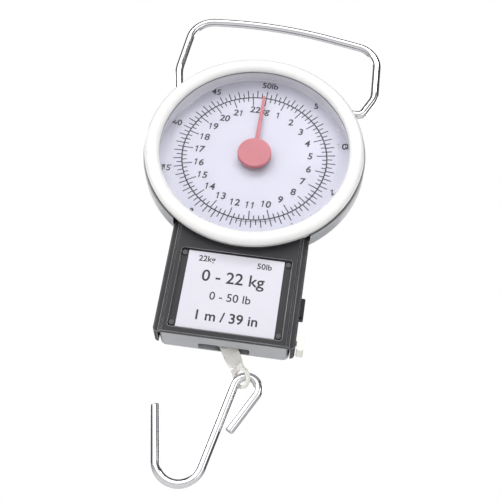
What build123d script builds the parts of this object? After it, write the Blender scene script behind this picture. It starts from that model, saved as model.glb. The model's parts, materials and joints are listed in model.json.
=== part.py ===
from build123d import *
from math import acos, cos, pi, radians, sin, tan
import os

# Hanging spring scale with a round dial, a pull-out tape measure and a wire hook.
#
# Millimetres, +Z up, the dial faces -Y.  The origin is the middle of the handle's
# grip bar.  Heights and depths in the dimension list are measured from the centre
# of the dial's face, because the case, the mechanism and the hook are laid out
# around it; the sketch planes below add the dial's own place.

# ---------------------------------------------------------------- dimensions
GRIP_TO_DIAL = 69.0            # grip bar down to the dial's centre
HANDLE_Y = 4.0                 # plane of the handle, behind the dial's face
DIAL_Y, DIAL_Z = -HANDLE_Y, -GRIP_TO_DIAL

WALL = 1.7                     # moulded case walls
PAN_R = 43.6                   # round rear shell at its widest
PAN_RIM_Y = -4.2               # its front rim
PAN_WIDE_Y = 1.8               # depth at which it starts to taper
PAN_BACK_R = 35.8
BACK_Y = 12.2                  # flat back of the case
INNER_BACK_Y = 10.6
DIAL_SEAT_Y = 0.5
CAVITY_R = 38.9                # mechanism space behind the dial

BOX_HALF = 24.0                # lower box of the case, half width
BOX_BOTTOM = -79.4
BOX_FRONT_Y = -0.9
NECK_HALF = 19.6               # opening between the round pan and the lower box
SLOT_HALF = 9.5                # slot in the bottom wall for the drawbar and the link
SLOT_Y = (5.1, 9.8)

COVER_HALF = 25.9              # black cover, half width over its side skirts
COVER_FACE_HALF = 23.0
COVER_FRONT_Y = -3.0
COVER_SKIRT_Y = 8.0
COVER_FIT = 0.2                # skirt to case
LABEL_HALF = 18.0
LABEL_TOP, LABEL_BOTTOM = -45.6, -76.8
RECESS_HALF = 20.8
RECESS_TOP, RECESS_BOTTOM = -45.1, -77.3
RECESS_Y = -1.9

BEZEL_R = 42.9
BEZEL_OPEN_R = 37.1
LENS_R = 39.3
DIAL_R = 40.9
DIAL_T = 0.5

HANDLE_D = 3.2
PIN_Z = 29.0                   # handle pins above the dial's centre
PIN_END = 19.2                 # how far in the pins reach
EAR_X = 19.5                   # inner face of each frame ear
FRAME_Y = (1.0, 1.8)           # frame plate, front and back face

MODULE = 0.5
PINION_TEETH = 16
PITCH_R = MODULE * PINION_TEETH / 2
ARBOR_R = 0.9
RUN_FIT = 0.05                 # radial running clearance
RACK_Y = (3.2, 4.8)
RACK_BACK = 8.2                # side position of the rack's plain edge
RACK_RIVETS = [(6.4, -16.5), (6.4, -18.6)]
YOKE_Y = (6.0, 7.2)            # drawbar plate, front and back face
YOKE_TOP, YOKE_LOW = -15.6, -20.0
STEM_HALF = 4.0

SPRING_X = 14.0
SPRING_Y = 6.3
SPRING_WIRE = 1.3
SPRING_MEAN_R = 3.4
SPRING_TOP, SPRING_PITCH, SPRING_COILS = 21.5, 1.5, 22
ANCHOR_Z = 26.0                # fixed pins that the springs hang from
SEAT_Y, SEAT_Z = 4.8, -17.8    # studs on the crossbar that pull the springs
HOOK_EYE_R = 1.95              # centre line of a spring's end hooks

LINK_PIN_Z = -75.5             # rivet between the drawbar and the link
LINK_LEAN = 30.4               # how far the link leans to +X at rest, degrees
LINK_LENGTH = 15.9             # rivet to the hook's hole
LINK_W, LINK_T = 6.0, 1.2
LINK_EYE_R = 4.0               # rounded lower end, around the hook's hole
LINK_TWIST = 50.0              # degrees that the lower end is turned
TWIST_FROM, TWIST_TO = 6.2, 11.4
LINK_Y = 7.9                   # plane of the link and the hook
LINK_HOLE_R = 2.85

HOOK_D = 3.2
LOOP_R, BOWL_R = 4.45, 8.2
SHANK_LEAN, ARM_LEAN, LEG_LEAN = 12.1, 27.8, -10.8
SHANK_LENGTH, ARM_LENGTH, LEG_LENGTH = 32.7, 16.4, 20.8

REEL_X, REEL_Z = 2.0, -64.4
REEL_CORE_R, REEL_FLANGE_R, COIL_R = 5.0, 12.0, 11.0
REEL_Y = (-0.4, 5.4)
TAPE_W, TAPE_T = 4.6, 0.3
TAPE_Y = 2.5                   # middle of the tape's width
TAPE_Z = REEL_Z - COIL_R
STRIP_START = REEL_X + 3.0     # inner end of the straight strip
TAB_X, TAB_Z = (26.3, 28.9), (-79.2, -73.4)
AXLE_R = 1.5

BUTTON_Z = (-66.0, -57.6)
BUTTON_OUT = 27.4
BUTTON_Y = 3.2
LOCK_STOP_X = 14.8             # pocket behind the lock spring
SCREW_POSTS = [(-19.0, -49.0), (19.0, -49.0), (-18.8, -70.5), (18.8, -70.5)]
FRAME_POSTS = [(0.0, 33.5), (-27.0, -18.0), (27.0, -18.0)]


# ------------------------------------------------------------------- helpers
def facing(y):
    """Sketch plane at depth y: local x is X, local y is the height above the dial."""
    return Plane(origin=(0, DIAL_Y + y, DIAL_Z), x_dir=(1, 0, 0), z_dir=(0, -1, 0))


def across(x):
    """Sketch plane at side position x: local x is Y, local y is the height."""
    return Plane(origin=(x, DIAL_Y, DIAL_Z), x_dir=(0, 1, 0), z_dir=(1, 0, 0))


def level(z):
    """Sketch plane at a height above the dial: local x is X, local y is the depth."""
    return Plane(origin=(0, DIAL_Y, DIAL_Z + z))


SECTION = level(0)                         # local x is the radius, local y the depth
DIAL_AXIS = Axis((0, DIAL_Y, DIAL_Z), (0, 1, 0))


def upward(angle):
    """Unit step up a line that leans to +X by an angle in degrees."""
    return (sin(radians(angle)), cos(radians(angle)))


def rightward(angle):
    """Unit step to the right of such a line."""
    return (cos(radians(angle)), -sin(radians(angle)))


def save(part, label):
    """Label one finished piece and write it."""
    part.label = label
    export_step(part, f"parts/{label}.step")


os.makedirs("parts", exist_ok=True)

# -------------------------------------------------------------------- handle
# One bent wire.  Its two pins lie on the hinge axis; the bail leans a few
# degrees to +X and its grip bar slopes with it.
with BuildPart() as handle_bail:
    with BuildLine(facing(HANDLE_Y)) as handle_path:
        FilletPolyline(
            (-PIN_END, PIN_Z), (-35.6, PIN_Z), (-38.0, 41.4), (-35.4, 67.9),
            (0.0, 70.9), (44.3, 62.4), (44.9, 38.4), (40.3, PIN_Z), (PIN_END, PIN_Z),
            radius=[2.6, 18.0, 10.5, 180.0, 10.3, 9.0, 3.0],
        )
    with BuildSketch(Plane(origin=handle_path.line @ 0, z_dir=handle_path.line % 0)):
        Circle(HANDLE_D / 2)
    sweep(path=handle_path.line)
save(handle_bail.part, "handle_bail")

# ----------------------------------------------------------------- rear case
# A round pan with a tapered back, and the box below it, in one moulding.
with BuildPart() as rear_case:
    with BuildSketch(SECTION):
        with BuildLine():
            Polyline(
                (0, PAN_RIM_Y), (PAN_R - 0.3, PAN_RIM_Y), (PAN_R, PAN_RIM_Y + 0.5),
                (PAN_R, PAN_WIDE_Y), (PAN_BACK_R, BACK_Y), (0, BACK_Y), close=True,
            )
        make_face()
    revolve(axis=DIAL_AXIS)
    with BuildSketch(facing(BACK_Y)):
        with Locations((0, (BOX_BOTTOM - 30.0) / 2)):
            Rectangle(2 * BOX_HALF, -30.0 - BOX_BOTTOM)
    extrude(amount=BACK_Y - BOX_FRONT_Y)
    fillet(rear_case.edges().filter_by(Axis.Y).group_by(Axis.Z)[0], radius=2.5)
    low_back = rear_case.faces().sort_by(Axis.Z)[0].edges().sort_by(Axis.Y)[-1]
    chamfer(low_back, length=1.8)
    # step in the rim where the front cover runs up under the bezel
    with BuildSketch(facing(BOX_FRONT_Y)):
        with Locations((0, -40.5)):
            Rectangle(2 * (COVER_HALF + COVER_FIT), 16.0)
    extrude(amount=5, mode=Mode.SUBTRACT)
    # dial recess and the mechanism space behind it
    with BuildSketch(SECTION):
        with BuildLine():
            Polyline(
                (0, PAN_RIM_Y - 1), (PAN_R - WALL, PAN_RIM_Y - 1), (PAN_R - WALL, DIAL_SEAT_Y),
                (CAVITY_R, DIAL_SEAT_Y), (CAVITY_R, 3.4), (34.2, INNER_BACK_Y),
                (0, INNER_BACK_Y), close=True,
            )
        make_face()
    revolve(axis=DIAL_AXIS, mode=Mode.SUBTRACT)
    # inside of the lower box, and the neck that joins it to the pan
    with BuildSketch(facing(INNER_BACK_Y)):
        with Locations((0, (BOX_BOTTOM + WALL - 46.0) / 2)):
            Rectangle(2 * (BOX_HALF - WALL), -46.0 - BOX_BOTTOM - WALL)
    extrude(amount=INNER_BACK_Y - BOX_FRONT_Y + 1, mode=Mode.SUBTRACT)
    with BuildSketch(facing(INNER_BACK_Y)):
        with Locations((0, -37.0)):
            Rectangle(2 * NECK_HALF, 20.0)
    extrude(amount=INNER_BACK_Y - 2.2, mode=Mode.SUBTRACT)
    # posts for the frame plate, for the case screws and for the rear bushing
    with BuildSketch(facing(INNER_BACK_Y + 0.2)):
        with Locations(*FRAME_POSTS):
            Circle(2.4)
    extrude(amount=INNER_BACK_Y + 0.2 - 1.8)
    with BuildSketch(facing(INNER_BACK_Y + 0.2)):
        with Locations(*SCREW_POSTS):
            Circle(2.3)
    extrude(amount=INNER_BACK_Y + 0.2 - 1.6)
    with BuildSketch(facing(INNER_BACK_Y + 0.2)):
        Circle(3.2)
    extrude(amount=INNER_BACK_Y + 0.2 - 8.4)
    with BuildSketch(facing(INNER_BACK_Y)):
        Circle(2.0)
    extrude(amount=4, mode=Mode.SUBTRACT)
    with BuildSketch(facing(8.0)):
        with Locations(*FRAME_POSTS):
            Circle(0.9)
    extrude(amount=8, mode=Mode.SUBTRACT)
    # case screw holes with sunk heads, from the back
    with BuildSketch(facing(BACK_Y + 1)):
        with Locations(*SCREW_POSTS):
            Circle(1.15)
    extrude(amount=14, mode=Mode.SUBTRACT)
    with BuildSketch(facing(BACK_Y + 1)):
        with Locations(*SCREW_POSTS):
            Circle(2.3)
    extrude(amount=2.4, mode=Mode.SUBTRACT)
    # side holes for the handle's pins
    with BuildSketch(across(-PAN_R)):
        with Locations((HANDLE_Y, PIN_Z)):
            Circle(HANDLE_D / 2 + 0.35)
    extrude(amount=2 * PAN_R, mode=Mode.SUBTRACT)
    # bottom slot for the drawbar and the link
    with BuildSketch(level(BOX_BOTTOM - 1)):
        with Locations((0, sum(SLOT_Y) / 2)):
            RectangleRounded(2 * SLOT_HALF, SLOT_Y[1] - SLOT_Y[0], 0.8)
    extrude(amount=WALL + 2, mode=Mode.SUBTRACT)
    # stop with a pocket for the lock spring
    with BuildSketch(facing(INNER_BACK_Y + 0.2)):
        with Locations((LOCK_STOP_X + 1.3, sum(BUTTON_Z) / 2)):
            Rectangle(3.6, 5.6)
    extrude(amount=INNER_BACK_Y + 0.2 - 0.6)
    with BuildSketch(across(LOCK_STOP_X)):
        with Locations((BUTTON_Y, sum(BUTTON_Z) / 2)):
            Circle(1.9)
    extrude(amount=6, mode=Mode.SUBTRACT)
    # side openings for the tape mouth and for the lock button
    with BuildSketch(across(BOX_HALF - WALL - 1)):
        with Locations((TAPE_Y, TAPE_Z)):
            Rectangle(6.4, 4.4)
        with Locations((BUTTON_Y, sum(BUTTON_Z) / 2)):
            Rectangle(5.0, 9.0)
    extrude(amount=WALL + 2, mode=Mode.SUBTRACT)
save(rear_case.part, "rear_case")

# --------------------------------------------------------------- front cover
# Black cover over the lower box: stepped front edges, side skirts and a
# recess for the label.  Its top edge follows the round pan.
with BuildPart() as front_cover:
    with BuildSketch(level(BOX_BOTTOM)):
        with BuildLine():
            skirt_in = BOX_HALF + COVER_FIT
            right = [
                (COVER_FACE_HALF - 0.4, COVER_FRONT_Y), (COVER_FACE_HALF, COVER_FRONT_Y + 0.4),
                (COVER_FACE_HALF, -2.2), (23.9, -2.2), (23.9, -1.4), (25.5, -1.4),
                (COVER_HALF, -1.0), (COVER_HALF, COVER_SKIRT_Y), (skirt_in, COVER_SKIRT_Y),
                (skirt_in, BOX_FRONT_Y),
            ]
            left = [(-x, y) for x, y in reversed(right)]
            Polyline(*right, *left, close=True)
        make_face()
    extrude(amount=-30.0 - BOX_BOTTOM)
    # rounded lower corners
    with BuildSketch(facing(BACK_Y)):
        with Locations((0, BOX_BOTTOM + 30.0)):
            RectangleRounded(2 * COVER_HALF, 60.0, 1.6)
    extrude(amount=20, mode=Mode.INTERSECT)
    # the round pan passes between the skirts, and the face runs up under the bezel
    with BuildSketch(facing(BACK_Y)):
        Circle(PAN_R + 0.3)
    extrude(amount=BACK_Y - BOX_FRONT_Y, mode=Mode.SUBTRACT)
    with BuildSketch(facing(BOX_FRONT_Y)):
        Circle(PAN_R - WALL + 0.1)
    extrude(amount=5, mode=Mode.SUBTRACT)
    with BuildSketch(facing(RECESS_Y)):
        with Locations((0, (RECESS_TOP + RECESS_BOTTOM) / 2)):
            RectangleRounded(2 * RECESS_HALF, RECESS_TOP - RECESS_BOTTOM, 1.0)
    extrude(amount=5, mode=Mode.SUBTRACT)
    # posts that take the case screws, and the boss that holds the reel's axle
    with BuildSketch(facing(1.5)):
        with Locations(*SCREW_POSTS):
            Circle(2.3)
    extrude(amount=1.5 - BOX_FRONT_Y + 0.1)
    with BuildSketch(facing(1.6)):
        with Locations(*SCREW_POSTS):
            Circle(1.0)
    extrude(amount=2.6, mode=Mode.SUBTRACT)
    with BuildSketch(facing(REEL_Y[0] - 0.1)):
        with Locations((REEL_X, REEL_Z)):
            Circle(3.4)
    extrude(amount=0.5)
    with BuildSketch(facing(RECESS_Y + 0.4)):
        with Locations((REEL_X, REEL_Z)):
            Circle(AXLE_R)
    extrude(amount=-4, mode=Mode.SUBTRACT)
    # side openings
    with BuildSketch(across(BOX_HALF)):
        with Locations((TAPE_Y, TAPE_Z)):
            Rectangle(6.4, 4.4)
        with Locations((BUTTON_Y, sum(BUTTON_Z) / 2)):
            Rectangle(5.0, 9.0)
    extrude(amount=4, mode=Mode.SUBTRACT)
save(front_cover.part, "front_cover")

with BuildPart() as label_card:
    with BuildSketch(facing(RECESS_Y)):
        with Locations((0, (LABEL_TOP + LABEL_BOTTOM) / 2)):
            Rectangle(2 * LABEL_HALF, LABEL_TOP - LABEL_BOTTOM)
    extrude(amount=0.25)
save(label_card.part, "label_card")

# Four moulded plugs in the recess corners, beside the label.
with BuildPart() as cover_plugs:
    with BuildSketch(facing(RECESS_Y)):
        with Locations((-19.5, -46.8), (19.5, -46.8), (-19.5, -75.5), (19.5, -75.5)):
            Circle(1.1)
    extrude(amount=0.5)
    fillet(cover_plugs.faces().group_by(Axis.Y)[0].edges(), radius=0.25)
save(cover_plugs.part, "cover_plugs")

# ------------------------------------------------------------ bezel and lens
with BuildPart() as bezel_ring:
    with BuildSketch(SECTION):
        with BuildLine():
            start = Polyline(
                (BEZEL_OPEN_R, -6.6), (BEZEL_OPEN_R, -5.9), (LENS_R + 0.15, -5.9),
                (LENS_R + 0.15, -1.5), (PAN_R - WALL - 0.15, -1.5), (PAN_R - WALL - 0.15, -4.7),
                (BEZEL_R, -4.7), (BEZEL_R, -6.2),
            )
            ThreePointArc(start @ 1, (40.3, -8.5), start @ 0)
        make_face()
    revolve(axis=DIAL_AXIS)
save(bezel_ring.part, "bezel_ring")

# Clear lens: a flange under the bezel's lip, then a raised disc with a bevel.
with BuildPart() as lens:
    with BuildSketch(SECTION):
        with BuildLine():
            Polyline(
                (0, -7.5), (33.4, -7.5), (36.8, -6.3), (36.8, -5.9), (LENS_R, -5.9),
                (LENS_R, -4.9), (35.9, -4.9), (33.0, -6.2), (0, -6.2), close=True,
            )
        make_face()
    revolve(axis=DIAL_AXIS)
save(lens.part, "lens")

with BuildPart() as lens_retainer:
    with BuildSketch(SECTION):
        with BuildLine():
            Polyline(
                (BEZEL_OPEN_R + 0.2, -4.9), (LENS_R, -4.9), (LENS_R, 0.0),
                (BEZEL_OPEN_R + 0.2, 0.0), close=True,
            )
        make_face()
    revolve(axis=DIAL_AXIS)
save(lens_retainer.part, "lens_retainer")

with BuildPart() as dial_plate:
    with BuildSketch(facing(DIAL_T)):
        Circle(DIAL_R)
        Circle(2.4, mode=Mode.SUBTRACT)
    extrude(amount=DIAL_T)
save(dial_plate.part, "dial_plate")

# --------------------------------------------------------------- frame plate
# Stamped steel plate behind the dial.  Its ears carry the handle's pins, so the
# load goes from the handle to the springs without passing through the case.
with BuildPart() as frame_plate:
    with BuildSketch(facing(FRAME_Y[1])):
        Circle(37.8)
        with Locations((0, -40)):
            Rectangle(80, 36, mode=Mode.SUBTRACT)
        with Locations((-22, 4), (22, 4)):
            Circle(6.0, mode=Mode.SUBTRACT)
        with Locations(*FRAME_POSTS):
            Circle(1.0, mode=Mode.SUBTRACT)
        Circle(1.8, mode=Mode.SUBTRACT)
        with Locations((-SPRING_X, ANCHOR_Z), (SPRING_X, ANCHOR_Z)):
            Circle(1.2, mode=Mode.SUBTRACT)
    extrude(amount=FRAME_Y[1] - FRAME_Y[0])
    # ears, bent back from the plate's edge
    for side in (-1, 1):
        with BuildSketch(across(side * EAR_X)):
            with Locations(((FRAME_Y[0] + HANDLE_Y) / 2, PIN_Z)):
                Rectangle(HANDLE_Y - FRAME_Y[0], 5.2)
            with Locations((HANDLE_Y, PIN_Z)):
                Circle(2.6)
                Circle(HANDLE_D / 2 + 0.1, mode=Mode.SUBTRACT)
        extrude(amount=side * 1.2)
save(frame_plate.part, "frame_plate")

with BuildPart() as frame_screws:
    with BuildSketch(facing(FRAME_Y[0])):
        with Locations(*FRAME_POSTS):
            Circle(1.8)
    extrude(amount=0.4)
    with BuildSketch(facing(7.0)):
        with Locations(*FRAME_POSTS):
            Circle(0.9)
    extrude(amount=6.0)
save(frame_screws.part, "frame_screws")

with BuildPart() as spring_anchor_pins:
    with BuildSketch(facing(8.6)):
        with Locations((-SPRING_X, ANCHOR_Z), (SPRING_X, ANCHOR_Z)):
            Circle(1.2)
    extrude(amount=8.6 - FRAME_Y[0])
    with BuildSketch(facing(9.4)):
        with Locations((-SPRING_X, ANCHOR_Z), (SPRING_X, ANCHOR_Z)):
            Circle(1.9)
    extrude(amount=0.8)
save(spring_anchor_pins.part, "spring_anchor_pins")


# ------------------------------------------------------------------- springs
def extension_spring():
    """Close-wound spring left of the rack, with a hook over a pin at each end."""
    coil_foot = SPRING_TOP - SPRING_PITCH * SPRING_COILS
    axis = facing(SPRING_Y).origin - Vector(SPRING_X, 0, 0)
    edge = axis + Vector(SPRING_MEAN_R, 0, 0)
    upper = axis + Vector(0, 0, ANCHOR_Z)
    lower = axis + Vector(0, SEAT_Y - SPRING_Y, SEAT_Z)
    across_hook, over_hook = Vector(HOOK_EYE_R, 0, 0), Vector(0, 0, HOOK_EYE_R)
    with BuildPart() as spring:
        with BuildLine() as coil:
            Helix(
                pitch=SPRING_PITCH, height=SPRING_PITCH * SPRING_COILS,
                radius=SPRING_MEAN_R, center=axis + Vector(0, 0, coil_foot),
            )
        with BuildSketch(Plane(origin=coil.line @ 0, z_dir=coil.line % 0)):
            Circle(SPRING_WIRE / 2)
        sweep(path=coil.line, is_frenet=True)
        for coil_end, eye, over in ((SPRING_TOP, upper, over_hook), (coil_foot, lower, -over_hook)):
            start = edge + Vector(0, 0, coil_end)
            with BuildLine() as hook:
                Bezier(start, start + over, eye + across_hook - over, eye + across_hook)
                ThreePointArc(eye + across_hook, eye + over, eye - across_hook)
            with BuildSketch(Plane(origin=hook.line @ 0, z_dir=hook.line % 0)):
                Circle(SPRING_WIRE / 2)
            sweep(path=hook.line)
            with Locations(start):
                Sphere(SPRING_WIRE / 2 + 0.02)
    return spring.part


left_spring = extension_spring()
save(left_spring, "extension_spring_left")
with BuildPart() as right_spring:
    add(left_spring.moved(Location((2 * SPRING_X, 0, 0))))
save(right_spring.part, "extension_spring_right")


# --------------------------------------------------------- carriage and rack
# Drawbar plate: a crossbar under the springs and a stem down to the link.
with BuildPart() as drawbar:
    with BuildSketch(facing(YOKE_Y[1])):
        with Locations((0, (YOKE_TOP + YOKE_LOW) / 2)):
            RectangleRounded(37.0, YOKE_TOP - YOKE_LOW, 1.2)
        with Locations((0, (YOKE_TOP + LINK_PIN_Z) / 2)):
            Rectangle(2 * STEM_HALF, YOKE_TOP - LINK_PIN_Z)
        with Locations((0, LINK_PIN_Z)):
            Circle(STEM_HALF - 0.2)
            Circle(1.3, mode=Mode.SUBTRACT)
        with Locations(*RACK_RIVETS):
            Circle(0.6, mode=Mode.SUBTRACT)
    extrude(amount=YOKE_Y[1] - YOKE_Y[0])
save(drawbar.part, "drawbar")

with BuildPart() as spring_seats:
    with BuildSketch(facing(YOKE_Y[0])):
        with Locations((-SPRING_X, SEAT_Z), (SPRING_X, SEAT_Z)):
            Circle(1.2)
    extrude(amount=2.1)
    with BuildSketch(facing(YOKE_Y[0] - 2.0)):
        with Locations((-SPRING_X, SEAT_Z), (SPRING_X, SEAT_Z)):
            Circle(1.9)
    extrude(amount=0.5)
save(spring_seats.part, "spring_seats")

TOOTH_PITCH = pi * MODULE
RACK_TEETH = range(-1, 18)
FLANK = MODULE * tan(radians(20))
HALF_TOOTH = TOOTH_PITCH / 4 - 0.06        # half thickness at the pitch line, with backlash
rack_tooth = make_face(
    Polyline(
        (0.75, -HALF_TOOTH - 1.5 * FLANK), (-0.45, -HALF_TOOTH + 0.9 * FLANK),
        (-0.45, HALF_TOOTH - 0.9 * FLANK), (0.75, HALF_TOOTH + 1.5 * FLANK), close=True,
    )
)
with BuildPart() as rack:
    with BuildSketch(facing(RACK_Y[1])):
        with Locations(((PITCH_R + 0.7 + RACK_BACK) / 2, (28.0 + YOKE_LOW) / 2)):
            Rectangle(RACK_BACK - PITCH_R - 0.7, 28.0 - YOKE_LOW)
        with Locations(*[(PITCH_R, tooth * TOOTH_PITCH) for tooth in RACK_TEETH]):
            add(rack_tooth)
    extrude(amount=RACK_Y[1] - RACK_Y[0])
    with BuildSketch(facing(YOKE_Y[0])):
        with Locations((6.4, -17.5)):
            Rectangle(3.4, 4.6)
    extrude(amount=YOKE_Y[0] - RACK_Y[1])
    with BuildSketch(facing(YOKE_Y[0])):
        with Locations(*RACK_RIVETS):
            Circle(0.6)
    extrude(amount=4, mode=Mode.SUBTRACT)
save(rack.part, "rack")

with BuildPart() as rack_rivets:
    with BuildSketch(facing(YOKE_Y[1] + 0.4)):
        with Locations(*RACK_RIVETS):
            Circle(0.6)
    extrude(amount=YOKE_Y[1] + 0.4 - RACK_Y[0] + 0.3)
save(rack_rivets.part, "rack_rivets")

with BuildPart() as link_rivet:
    with BuildSketch(facing(9.2)):
        with Locations((0, LINK_PIN_Z)):
            Circle(1.2)
    extrude(amount=9.2 - 5.5)
    with BuildSketch(facing(YOKE_Y[0])):
        with Locations((0, LINK_PIN_Z)):
            Circle(2.2)
    extrude(amount=0.5)
    with BuildSketch(facing(9.2)):
        with Locations((0, LINK_PIN_Z)):
            Circle(2.0)
    extrude(amount=0.5)
save(link_rivet.part, "link_rivet")

with BuildPart() as rack_guide:
    with BuildSketch(facing(5.2)):
        with Locations((8.8, 0)):
            Rectangle(0.9, 7.0)
    extrude(amount=5.2 - FRAME_Y[1])
save(rack_guide.part, "rack_guide")


# -------------------------------------------------------- pinion and pointer
def involute_angle(radius, base_r):
    """Angle swept by an involute from its base circle out to a radius."""
    pressure = acos(base_r / radius)
    return tan(pressure) - pressure


def pinion_tooth(steps=5):
    """Outline of one involute tooth, centred on local +X."""
    base_r = PITCH_R * cos(radians(20))
    tip_r = PITCH_R + 0.9 * MODULE
    half_at_pitch = HALF_TOOTH / PITCH_R
    flank = []
    for step in range(steps + 1):
        radius = base_r + (tip_r - base_r) * step / steps
        half = half_at_pitch + involute_angle(PITCH_R, base_r) - involute_angle(radius, base_r)
        flank.append((radius, half))
    upper = [(r * cos(a), r * sin(a)) for r, a in flank]
    lower = [(x, -y) for x, y in reversed(upper)]
    root_r = PITCH_R - 1.3 * MODULE
    return make_face(Polyline((root_r, upper[0][1]), *upper, *lower, (root_r, lower[-1][1]), close=True))


gear_tooth = pinion_tooth()
with BuildPart() as pinion:
    with BuildSketch(facing(5.0)):
        Circle(PITCH_R - 1.2 * MODULE)
        half_step = 180.0 / PINION_TEETH
        with PolarLocations(0, PINION_TEETH, start_angle=half_step):
            add(gear_tooth)
        Circle(ARBOR_R, mode=Mode.SUBTRACT)
    extrude(amount=2.0)
save(pinion.part, "pinion")

with BuildPart() as pointer_arbor:
    with BuildSketch(facing(10.2)):
        Circle(ARBOR_R)
    extrude(amount=10.2 + 2.8)
save(pointer_arbor.part, "pointer_arbor")

with BuildPart() as front_bushing:
    with BuildSketch(facing(2.8)):
        Circle(1.8)
        Circle(ARBOR_R + RUN_FIT, mode=Mode.SUBTRACT)
    extrude(amount=2.8 - FRAME_Y[0])
    with BuildSketch(facing(2.8)):
        Circle(3.0)
        Circle(ARBOR_R + RUN_FIT, mode=Mode.SUBTRACT)
    extrude(amount=2.8 - FRAME_Y[1])
save(front_bushing.part, "front_bushing")

with BuildPart() as rear_bushing:
    with BuildSketch(facing(INNER_BACK_Y)):
        Circle(2.0)
    extrude(amount=INNER_BACK_Y - 8.0)
    with BuildSketch(facing(10.4)):
        Circle(ARBOR_R + RUN_FIT)
    extrude(amount=4, mode=Mode.SUBTRACT)
save(rear_bushing.part, "rear_bushing")

with BuildPart() as pointer_needle:
    with BuildSketch(facing(-1.3)):
        with BuildLine():
            Polyline((-1.0, -5.0), (-0.9, 4.0), (-0.55, 28.2), (0, 28.8), (0.55, 28.2), (0.9, 4.0),
                     (1.0, -5.0), close=True)
        make_face()
        Circle(3.0)
        Circle(ARBOR_R, mode=Mode.SUBTRACT)
    extrude(amount=0.5)
save(pointer_needle.part, "pointer_needle")

with BuildPart() as pointer_hub_cap:
    with BuildSketch(facing(-1.8)):
        Circle(6.65)
    extrude(amount=1.8)
    fillet(pointer_hub_cap.faces().sort_by(Axis.Y)[0].edges(), radius=0.4)
    with BuildSketch(facing(-1.0)):
        Circle(ARBOR_R)
    extrude(amount=1.8, mode=Mode.SUBTRACT)
save(pointer_hub_cap.part, "pointer_hub_cap")

# ------------------------------------------------------------- link and hook
# The link is a flat strap with a twist.  Its upper end is riveted to the drawbar
# and swings sideways; its lower end is an eye that the hook runs through.
lean_out = radians(LINK_LEAN)
link_down = Vector(sin(lean_out), 0, -cos(lean_out))
link_side = Vector(cos(lean_out), 0, sin(lean_out))
link_top = Vector(0, DIAL_Y + LINK_Y, DIAL_Z + LINK_PIN_Z)
hook_hole = link_top + link_down * LINK_LENGTH
loop_centre = link_top + link_down * (LINK_LENGTH + LOOP_R)
twist = radians(LINK_TWIST)
eye_side = link_side * cos(twist) - Vector(0, sin(twist), 0)
eye_normal = -link_side * sin(twist) - Vector(0, cos(twist), 0)


def link_section(step, steps=4):
    """Cross-section plane of the link, part of the way through its twist."""
    at = TWIST_FROM + (TWIST_TO - TWIST_FROM) * step / steps
    turn = LINK_TWIST * step / steps
    return Plane(origin=link_top + link_down * at, x_dir=link_side, z_dir=link_down).rotated((0, 0, turn))


upper_face = Plane(origin=link_top + Vector(0, LINK_T / 2, 0), x_dir=link_side, z_dir=(0, -1, 0))
lower_face = Plane(origin=hook_hole - eye_normal * (LINK_T / 2), x_dir=eye_side, z_dir=eye_normal)
with BuildPart() as twisted_link:
    with BuildSketch(upper_face):
        Circle(LINK_W / 2)
        with Locations((0, -TWIST_FROM / 2)):
            Rectangle(LINK_W, TWIST_FROM)
        Circle(1.25, mode=Mode.SUBTRACT)
    extrude(amount=LINK_T)
    for step in range(5):
        with BuildSketch(link_section(step)):
            Rectangle(LINK_W, LINK_T)
    loft()
    with BuildSketch(lower_face):
        Circle(LINK_EYE_R)
        with Locations((0, (LINK_LENGTH - TWIST_TO) / 2)):
            Rectangle(LINK_W, LINK_LENGTH - TWIST_TO)
        Circle(LINK_HOLE_R, mode=Mode.SUBTRACT)
    extrude(amount=LINK_T)
save(twisted_link.part, "twisted_link")


# The hook is one wire: an upper loop that stays on the link, a slanted shank,
# a round bowl and a straight leg.  Its corners are worked out in its own plane.
def from_point(point, direction, distance):
    """Point at a distance from another, along a unit step in the hook's plane."""
    return (point[0] + direction[0] * distance, point[1] + direction[1] * distance)


loop_flat = (loop_centre.X, loop_centre.Z - DIAL_Z)
shank_top = from_point(loop_flat, rightward(SHANK_LEAN), -LOOP_R)
shank_foot = from_point(shank_top, upward(SHANK_LEAN), -SHANK_LENGTH)
bowl_centre = from_point(shank_foot, rightward(SHANK_LEAN), -BOWL_R)
bowl_low = from_point(bowl_centre, upward((SHANK_LEAN + LEG_LEAN) / 2), -BOWL_R)
leg_foot = from_point(bowl_centre, rightward(LEG_LEAN), -BOWL_R)
leg_tip = from_point(leg_foot, upward(LEG_LEAN), LEG_LENGTH)
loop_crown = from_point(loop_flat, upward((SHANK_LEAN + ARM_LEAN) / 2), LOOP_R)
arm_top = from_point(loop_flat, rightward(ARM_LEAN), LOOP_R)
arm_tip = from_point(arm_top, upward(ARM_LEAN), -ARM_LENGTH)
with BuildPart() as wire_hook:
    with BuildLine(facing(LINK_Y)) as hook_path:
        Line(leg_tip, leg_foot)
        ThreePointArc(leg_foot, bowl_low, shank_foot)
        Line(shank_foot, shank_top)
        ThreePointArc(shank_top, loop_crown, arm_top)
        Line(arm_top, arm_tip)
    with BuildSketch(Plane(origin=hook_path.line @ 0, z_dir=hook_path.line % 0)):
        Circle(HOOK_D / 2)
    sweep(path=hook_path.line)
    wire_ends = [face for face in wire_hook.faces() if face.is_planar]
    chamfer([edge for face in wire_ends for edge in face.edges()], length=0.3)
save(wire_hook.part, "wire_hook")

# -------------------------------------------------------------- tape measure
with BuildPart() as tape_axle:
    with BuildSketch(facing(5.5)):
        with Locations((REEL_X, REEL_Z)):
            Circle(AXLE_R)
    extrude(amount=5.5 - RECESS_Y - 0.4)
    with BuildSketch(facing(5.9)):
        with Locations((REEL_X, REEL_Z)):
            Circle(2.6)
    extrude(amount=0.4)
save(tape_axle.part, "tape_axle")

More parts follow.
